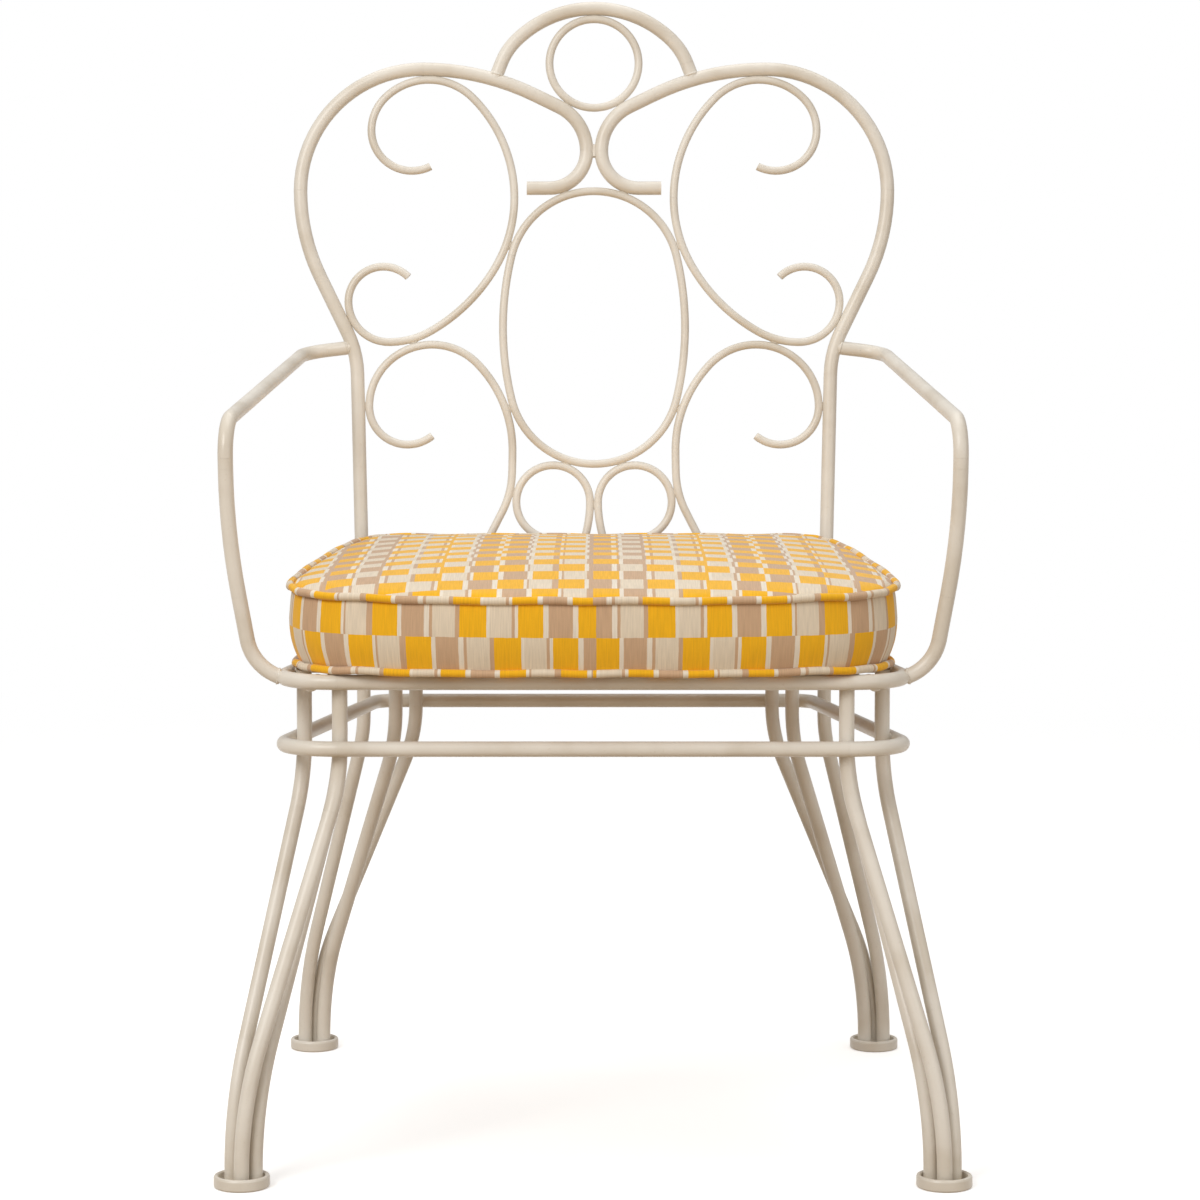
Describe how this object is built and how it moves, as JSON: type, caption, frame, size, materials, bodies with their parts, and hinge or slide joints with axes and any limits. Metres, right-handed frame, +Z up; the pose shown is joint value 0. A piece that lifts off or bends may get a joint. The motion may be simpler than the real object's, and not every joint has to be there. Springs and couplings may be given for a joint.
{
  "type": "dining armchair",
  "caption": "Outdoor dining armchair of bent, painted steel rod with a scrolled back, splayed rod legs in foot cups and a loose box cushion.",
  "frame": {"origin": "on the floor, under the middle of the chair's bounding box", "axes": "+Z up, -Y to the chair's front, +X to the right as seen from the front"},
  "size_m": [0.582, 0.538, 0.9383],
  "materials": {
    "frame_paint": "satin",
    "cushion_cloth": "matte"
  },
  "bodies": {
    "frame": {"back_upright_left": "frame_paint", "back_upright_right": "frame_paint", "hook_weld": "frame_paint", "crown_arch": "frame_paint", "crown_ring": "frame_paint", "centre_oval": "frame_paint", "upper_scroll_left": "frame_paint", "upper_scroll_right": "frame_paint", "lower_scroll_left": "frame_paint", "lower_scroll_right": "frame_paint", "base_ring_left": "frame_paint", "base_ring_right": "frame_paint", "arm_left": "frame_paint", "arm_right": "frame_paint", "seat_frame": "frame_paint", "lower_ring": "frame_paint", "seat_bar_left": "frame_paint", "seat_bar_right": "frame_paint", "seat_slat_front": "frame_paint", "seat_slat_middle": "frame_paint", "seat_slat_back": "frame_paint", "front_leg_side_left": "frame_paint", "front_leg_side_right": "frame_paint", "front_leg_rail_left": "frame_paint", "front_leg_rail_right": "frame_paint", "front_leg_inner_left": "frame_paint", "front_leg_inner_right": "frame_paint", "back_leg_inner_left": "frame_paint", "back_leg_inner_right": "frame_paint", "back_leg_rail_left": "frame_paint", "back_leg_rail_right": "frame_paint", "foot_cup_front_left": "frame_paint", "foot_cup_front_right": "frame_paint", "foot_cup_back_left": "frame_paint", "foot_cup_back_right": "frame_paint"},
    "cushion": {"cushion": "cushion_cloth"}
  },
  "joints": [
    {"name": "cushion_lift", "type": "slide", "parent": "frame", "child": "cushion", "axis": [0, 0, 1], "range_m": [0, 0.1]}
  ]
}
